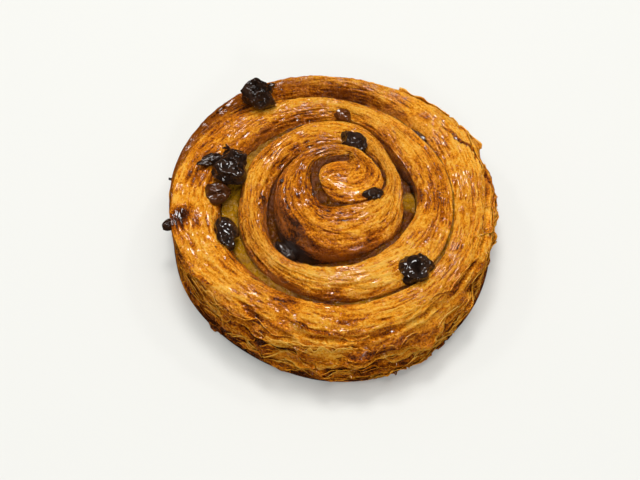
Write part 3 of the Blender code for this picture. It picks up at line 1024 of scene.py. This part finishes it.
def build_flakes(settings, look):
    """Thin papery flakes on the roll's side: each has one edge in the dough and one lifted clear of it."""
    dough = swept_dough(settings)
    distance, across, index = dough.distance, dough.across, dough.index
    rng = np.random.default_rng(FLAKE_SEED)
    start_u = np.interp(RIM_START + 0.3, index, distance)
    end_u = distance[-1] - 2
    count = settings.flakes
    long_count = count // 12
    length = rng.uniform(5, 15, count)
    tall = rng.uniform(2.2, 6.5, count)
    v0 = STRIP_WIDTH + rng.uniform(2.5, 21.5, count)
    length[:long_count] = rng.uniform(12, 30, long_count)
    tall[:long_count] = rng.uniform(1.1, 2.4, long_count)
    v0[:long_count] = STRIP_WIDTH + rng.uniform(-4.0, 16.0, long_count)
    u0 = rng.uniform(start_u, end_u, count)
    # Flakes on the tail keep to its lower part.
    tail = u0 > np.interp(32.6, index, distance)
    v0 = np.where(tail, np.maximum(v0, STRIP_WIDTH + 9), v0)
    lifted = np.where(rng.uniform(size=count) < 0.6, -1.0, 1.0)
    curl = rng.uniform(0.15, 0.9, count) ** 1.3
    slope = rng.normal(0, 0.14, count)
    shade = rng.normal(0.0, 0.12, count)

    # s runs along each flake and t across it; u and v are the same on the strip's map.
    s = np.linspace(0, 1, FLAKE_ROWS)[None, :, None]
    t = np.linspace(-1, 1, FLAKE_COLUMNS)[None, None, :]
    u = each(u0) + (s - 0.5) * each(length) + 0 * t
    tag = each(np.arange(count) * 3.7)
    ragged = 1 + 0.45 * flake_noise(301, u / 1.7, tag + np.sign(t) * 1.3)
    half = 0.5 * each(tall) * np.sin(np.pi * np.clip(s, 0.001, 0.999)) ** 0.45 * ragged
    wander = 1.5 * flake_noise(302, u / 6.0, tag)
    v = each(v0) + t * half + each(slope) * (s - 0.5) * each(length) + wander
    u, v, t_all = np.broadcast_arrays(u, v, t)

    # The base carries no flakes.
    row = np.interp(u, distance, np.arange(len(distance)))
    column = np.interp(v, across[:-BASE_COLUMNS], np.arange(len(across) - BASE_COLUMNS))
    lift = 0.5 + 0.5 * t_all * each(lifted)
    flutter = 0.5 + 0.5 * flake_noise(303, u / 2.6, tag + 50)
    stand = -0.25 + 0.55 * lift ** 0.8 + each(curl) * (0.35 + flutter) * lift**2.2
    stand += 0.12 * flake_noise(304, u / 1.3, v / 0.8)
    base = sample_grid(dough.points, row, column)
    place = base + sample_grid(dough.normals, row, column) * stand[..., None]
    place[..., 2] = np.maximum(place[..., 2], FLAKE_FOOT)

    piece = new_grid("side_flakes", count * FLAKE_ROWS, FLAKE_COLUMNS)
    place_vertices(piece, place + eye_position())
    edge = np.maximum(lift**7, np.abs(2 * s - 1) ** 14 + 0 * t)
    low = ease(place[..., 2], 7.0, 1.0)
    scorch = scorched(np.interp(u, distance, index), place[..., 2])
    # The flakes are as dark as the side they lie on: partly browning, partly painted shade of the side.
    bake_and_shade = 0.70 + each(shade) + 0.16 * noise(spread(u, v, 17, 7), 83) + 0.10 * noise(place / 5.0, 305)
    bake_and_shade += 0.20 * low + 0.45 * scorch - 0.28 * edge
    store(piece, "bake_and_shade", bake_and_shade)
    store(piece, "caramel", np.zeros(bake_and_shade.size))
    store(piece, "relief", 0.4 * flake_noise(306, u / 4.0, v / 0.8) + 0.4 * edge)
    lay_map(piece, u + 3.1 * each(np.arange(count)), v + 5.3 * each(np.arange(count)))
    cut_and_thicken(piece, count)
    piece.data.materials.append(bpy.data.materials.get("glazed_crust") or crust_material(look))
    finish_piece(piece, "baked_crust")
    return piece


def build_custard(look):
    """The custard seam: a glossy ribbon between the strips, lowest where it has drained away."""
    index = np.linspace(CUSTARD_START, CUSTARD_END, CUSTARD_STATIONS)
    half = half_gap(index) + CUSTARD_OVERLAP
    middle = wall_point(index)
    direction = outward(index)
    top = crest_height(middle) - smooth(CUSTARD_DEPTH, index)
    distance = np.concatenate([[0], np.cumsum(np.linalg.norm(np.diff(middle, axis=0), axis=1))])
    # Columns across the ribbon, from wall to wall, with a foot on either side.
    columns = [(-1, 0.0)] + [(s, 1.0) for s in np.linspace(-1, 1, CUSTARD_COLUMNS)] + [(1, 0.0)]
    points = np.zeros((CUSTARD_STATIONS, len(columns), 3))
    for column, (s, raised) in enumerate(columns):
        points[:, column, :2] = middle + direction * (half * s)[:, None]
        side = np.full(CUSTARD_STATIONS, s * 2.0)
        swell = np.minimum(half, 1.2)
        waves = 0.7 * noise(spread(distance, side, 5, 3), 91)
        waves += 0.55 * noise(spread(distance, side, 1.9, 1.1), 92) * swell
        meniscus = 0.5 * abs(s) ** 3 * swell
        points[:, column, 2] = raised * (top + waves + meniscus) + (1 - raised) * CUSTARD_FOOT
    u = np.repeat(distance[:, None], len(columns), axis=1)
    v = np.repeat(np.array([s * 2.0 for s, _ in columns])[None, :], CUSTARD_STATIONS, axis=0)
    at, thick = zip(*CUSTARD_THICK)
    cooked = np.repeat((1 - np.interp(index, at, thick))[:, None], len(columns), axis=1)
    piece = new_grid("custard_seam", CUSTARD_STATIONS, len(columns))
    place_vertices(piece, points + eye_position())
    store(piece, "caramel", cooked)
    lay_map(piece, u, v)
    close_and_shade(piece)
    piece.data.materials.append(custard_material(look))
    finish_piece(piece, "baked_custard", "custard_filling")
    return piece


def add_sphere(subdivisions):
    """A sphere as the active object, and the unit directions of its vertices."""
    bpy.ops.object.select_all(action="DESELECT")
    bpy.ops.mesh.primitive_ico_sphere_add(subdivisions=subdivisions, radius=1.0)
    piece = bpy.context.object
    unit = vertex_points(piece)
    return piece, unit / np.linalg.norm(unit, axis=1, keepdims=True)


def spin_matrix(degrees):
    """A turn about the upright axis."""
    a = math.radians(degrees)
    return np.array([[math.cos(a), -math.sin(a), 0], [math.sin(a), math.cos(a), 0], [0, 0, 1]])


def build_raisin(row, seed, material):
    """One wrinkled, glazed dried grape, in the place and at the size of its solid."""
    name, length, width, thickness, turn, tilt, crinkle, brown = row
    low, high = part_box(name)
    centre = (low + high) / 2
    piece, unit = add_sphere(6)
    piece.name = name + "_fruit"
    warp = unit + 0.35 * np.stack([noise(unit * 1.6 + k, seed + k) for k in (3, 5, 7)], axis=-1)
    broad = noise(warp * 1.3, seed + 11)
    folds = 1 - 2.4 * np.abs(noise(warp * 1.25, seed + 21))
    small = 1 - 2.4 * np.abs(noise(warp * 3.1, seed + 31))
    radius = 1 + 0.34 * broad + crinkle * (0.22 * folds + 0.03 * small)
    half = np.array([length, width, thickness])
    shape = unit * radius[:, None] * half * 1.02
    top_taper, end_taper, lift = TAPERS.get(name, (0.0, 0.0, 0.0))
    shape[:, 1:] *= (1 - end_taper * unit[:, 0])[:, None]
    b = math.radians(tilt)
    lean = np.array([[math.cos(b), 0, math.sin(b)], [0, 1, 0], [-math.sin(b), 0, math.cos(b)]])
    shape = shape @ (spin_matrix(turn) @ lean).T
    shape[:, :2] *= (1 - top_taper * shape[:, 2] / np.abs(shape[:, 2]).max())[:, None]
    shape[:, 2] += lift
    place_vertices(piece, shape + np.array(centre) / MM)
    store(piece, "fold", np.clip(folds, 0, 1))
    store(piece, "brown", np.full(len(unit), brown))
    bpy.ops.object.shade_smooth()
    piece.data.materials.append(material)
    finish_piece(piece, "dried_fruit", name)
    return piece


def join_pieces(pieces, name, material):
    """Makes one finished piece of several small ones."""
    bpy.ops.object.select_all(action="DESELECT")
    for piece in pieces:
        piece.select_set(True)
    bpy.context.view_layer.objects.active = pieces[0]
    bpy.ops.object.join()
    joined = bpy.context.object
    joined.name = name
    joined.data.name = name
    joined.data.materials.append(material)
    finish_piece(joined, "dried_fruit")
    return joined


def build_crumbs(material):
    """Dark crumbs of fruit and sugar caught on the dough."""
    eye = eye_position()
    pieces = []
    for number, (x, y, z, length, width, thickness, turn, brown) in enumerate(CRUMBS):
        seed = 700 + 5 * number
        piece, unit = add_sphere(4)
        radius = 1 + 0.35 * noise(unit * 1.6, seed) + 0.15 * noise(unit * 4.0, seed + 1)
        shape = unit * radius[:, None] * np.array([length, width, thickness])
        place_vertices(piece, shape @ spin_matrix(turn).T + (np.array([x, y, z]) + eye))
        store(piece, "fold", np.zeros(len(unit)))
        store(piece, "brown", np.full(len(unit), brown))
        bpy.ops.object.shade_smooth()
        pieces.append(piece)
    return join_pieces(pieces, "toasted_crumbs", material)


def build_stalks(material):
    """Short dried stalks of the fruit: tapered sticks, bent a little."""
    eye = eye_position()
    pieces = []
    for number, (root, tip) in enumerate(STALKS):
        bpy.ops.object.select_all(action="DESELECT")
        bpy.ops.mesh.primitive_cylinder_add(vertices=14, radius=1.0, depth=2.0)
        piece = bpy.context.object
        bpy.ops.object.mode_set(mode="EDIT")
        bpy.ops.mesh.select_all(action="SELECT")
        bpy.ops.mesh.subdivide(number_cuts=3)
        bpy.ops.object.mode_set(mode="OBJECT")
        points = vertex_points(piece)
        share = points[:, 2] / 2 + 0.5
        root = np.array(root)
        line = np.array(tip) - root
        aside = np.cross(line, (0.3, 0.2, 1.0))
        aside /= np.linalg.norm(aside)
        above = np.cross(line, aside)
        above /= np.linalg.norm(above)
        knots = noise(np.stack([points[:, 0] * 1.5, points[:, 1] * 1.5, share * 5 + number], axis=-1), 801)
        thick = STALK_RADIUS * (1 - 0.35 * share) * (1 + 0.35 * knots)
        shape = root + share[:, None] * line + 0.25 * np.sin(3.1 * share)[:, None] * aside
        shape += (points[:, :1] * aside + points[:, 1:2] * above) * thick[:, None]
        place_vertices(piece, shape + eye)
        store(piece, "fold", np.zeros(len(points)))
        store(piece, "brown", np.full(len(points), STALK_BROWN))
        face_outwards()
        pieces.append(piece)
    return join_pieces(pieces, "fruit_stalks", material)


# ---------------------------------------------------------------- stage


# Area lamps: name, place in metres, width in metres, power in watts and whether glazes reflect them.
LAMPS = [
    ("key_light", (-0.05, 0.42, 1.05), 0.30, 6.5, True),
    ("glint_light_right", (0.5, 0.4, 0.85), 0.10, 1.0, True),
    ("glint_light_left", (-0.6, 0.3, 0.85), 0.10, 1.0, True),
    ("glint_light_near", (-0.1, -0.35, 1.0), 0.15, 1.8, True),
    ("glint_light_front", (0.08, -0.75, 0.6), 0.09, 0.9, True),
    ("top_light", (0.1, 0.1, 1.3), 0.9, 8.4, False),
]
LAMP_TARGET = (0, 0, 0.01)
FLOOR_SIZE = 6.0
SKY_STRENGTH = 0.4
CAMERA_ELEVATION = 55
CAMERA_DISTANCE = 0.5
CAMERA_LENS = 82.4
# What the camera looks at: an offset from the eye in plan, and a height, in metres.
TARGET_OFFSET = (-0.0088, -0.004, 0)
TARGET_HEIGHT = 0.006


def aim(direction):
    """The rotation of a lamp or a camera that looks along a direction."""
    return direction.to_track_quat("-Z", "Y").to_euler()


def build_floor():
    """A plain pale floor that gives a little light of its own into the shadow."""
    bpy.ops.object.select_all(action="DESELECT")
    bpy.ops.mesh.primitive_plane_add(size=FLOOR_SIZE, location=(0, 0, 0))
    floor = bpy.context.object
    floor.name = "stage_floor"
    material, _, shader = new_material("pale_floor")
    shader.inputs["Base Color"].default_value = (0.455, 0.455, 0.434, 1.0)
    shader.inputs["Emission Color"].default_value = (1.0, 1.0, 0.96, 1.0)
    shader.inputs["Emission Strength"].default_value = 0.2
    shader.inputs["Roughness"].default_value = 0.9
    shader.inputs["Specular IOR Level"].default_value = 0.0
    floor.data.materials.append(material)
    floor.visible_glossy = False


def build_lights():
    """Soft light from all round and above, and small lamps for the glints on the glaze."""
    world = bpy.data.worlds.new("soft_studio")
    bpy.context.scene.world = world
    world.use_nodes = True
    background = world.node_tree.nodes["Background"]
    background.inputs["Color"].default_value = (1.0, 0.995, 0.985, 1.0)
    background.inputs["Strength"].default_value = SKY_STRENGTH
    world.cycles_visibility.glossy = False
    for name, location, size, power, glossy in LAMPS:
        bpy.ops.object.light_add(type="AREA", location=location)
        lamp = bpy.context.object
        lamp.name = name
        lamp.data.size = size
        lamp.data.energy = power
        lamp.visible_glossy = glossy
        lamp.rotation_euler = aim(Vector(LAMP_TARGET) - Vector(location))


def build_camera():
    """The camera, looking down at the roll from the near side."""
    elevation = math.radians(CAMERA_ELEVATION)
    back = Vector((0, -math.cos(elevation), math.sin(elevation)))
    target = Vector(eye_position() * MM) + Vector(TARGET_OFFSET)
    target.z = TARGET_HEIGHT
    bpy.ops.object.camera_add(location=target + back * CAMERA_DISTANCE)
    camera = bpy.context.object
    camera.name = "photo_camera"
    camera.rotation_euler = aim(-back)
    camera.data.sensor_width = 36
    camera.data.lens = CAMERA_LENS
    bpy.context.scene.camera = camera
    bpy.context.scene.view_settings.view_transform = "Standard"


# ---------------------------------------------------------------- add-on


class PASTRY_OT_dough(bpy.types.Operator):
    """Build the laminated crust of the roll."""

    bl_idname = "pastry.dough"
    bl_label = "Dough coils"

    def execute(self, context):
        build_dough(context.scene.pastry, context.scene.pastry_look)
        return {"FINISHED"}


class PASTRY_OT_flakes(bpy.types.Operator):
    """Build the loose flakes on the side."""

    bl_idname = "pastry.flakes"
    bl_label = "Side flakes"

    def execute(self, context):
        build_flakes(context.scene.pastry, context.scene.pastry_look)
        return {"FINISHED"}


class PASTRY_OT_custard(bpy.types.Operator):
    """Build the custard in the seam."""

    bl_idname = "pastry.custard"
    bl_label = "Custard seam"

    def execute(self, context):
        build_custard(context.scene.pastry_look)
        return {"FINISHED"}


class PASTRY_OT_raisins(bpy.types.Operator):
    """Build the raisins."""

    bl_idname = "pastry.raisins"
    bl_label = "Raisins"

    def execute(self, context):
        material = raisin_material(context.scene.pastry_look)
        for number, row in enumerate(RAISINS):
            build_raisin(row, 100 + 50 * number, material)
        return {"FINISHED"}


class PASTRY_OT_crumbs(bpy.types.Operator):
    """Build the crumbs and the fruit's stalks."""

    bl_idname = "pastry.crumbs"
    bl_label = "Crumbs and stalks"

    def execute(self, context):
        material = bpy.data.materials.get("glazed_raisin") or raisin_material(context.scene.pastry_look)
        build_crumbs(material)
        build_stalks(material)
        return {"FINISHED"}


class PASTRY_OT_stage(bpy.types.Operator):
    """Build the floor, the lights and the camera."""

    bl_idname = "pastry.stage"
    bl_label = "Stage"

    def execute(self, context):
        build_floor()
        build_lights()
        build_camera()
        return {"FINISHED"}


class PASTRY_PT_panel(bpy.types.Panel):
    """The settings, the looks and a button for each operator."""

    bl_label = "Pastry"
    bl_idname = "PASTRY_PT_panel"
    bl_space_type = "VIEW_3D"
    bl_region_type = "UI"
    bl_category = "Pastry"

    def draw(self, context):
        for group in (context.scene.pastry, context.scene.pastry_look):
            for name in group.__annotations__:
                self.layout.prop(group, name)
        for operator in OPERATORS:
            self.layout.operator(operator.bl_idname)


OPERATORS = (
    PASTRY_OT_dough,
    PASTRY_OT_flakes,
    PASTRY_OT_custard,
    PASTRY_OT_raisins,
    PASTRY_OT_crumbs,
    PASTRY_OT_stage,
)
CLASSES = (PastrySettings, PastryLook, *OPERATORS, PASTRY_PT_panel)


def register():
    for cls in CLASSES:
        bpy.utils.register_class(cls)
    bpy.types.Scene.pastry = PointerProperty(type=PastrySettings)
    bpy.types.Scene.pastry_look = PointerProperty(type=PastryLook)


def unregister():
    del bpy.types.Scene.pastry_look
    del bpy.types.Scene.pastry
    for cls in reversed(CLASSES):
        bpy.utils.unregister_class(cls)


def main():
    register()
    bpy.ops.pastry.dough()
    bpy.ops.pastry.flakes()
    bpy.ops.pastry.custard()
    bpy.ops.pastry.raisins()
    bpy.ops.pastry.crumbs()
    bpy.ops.pastry.stage()


if __name__ == "__main__":
    main()
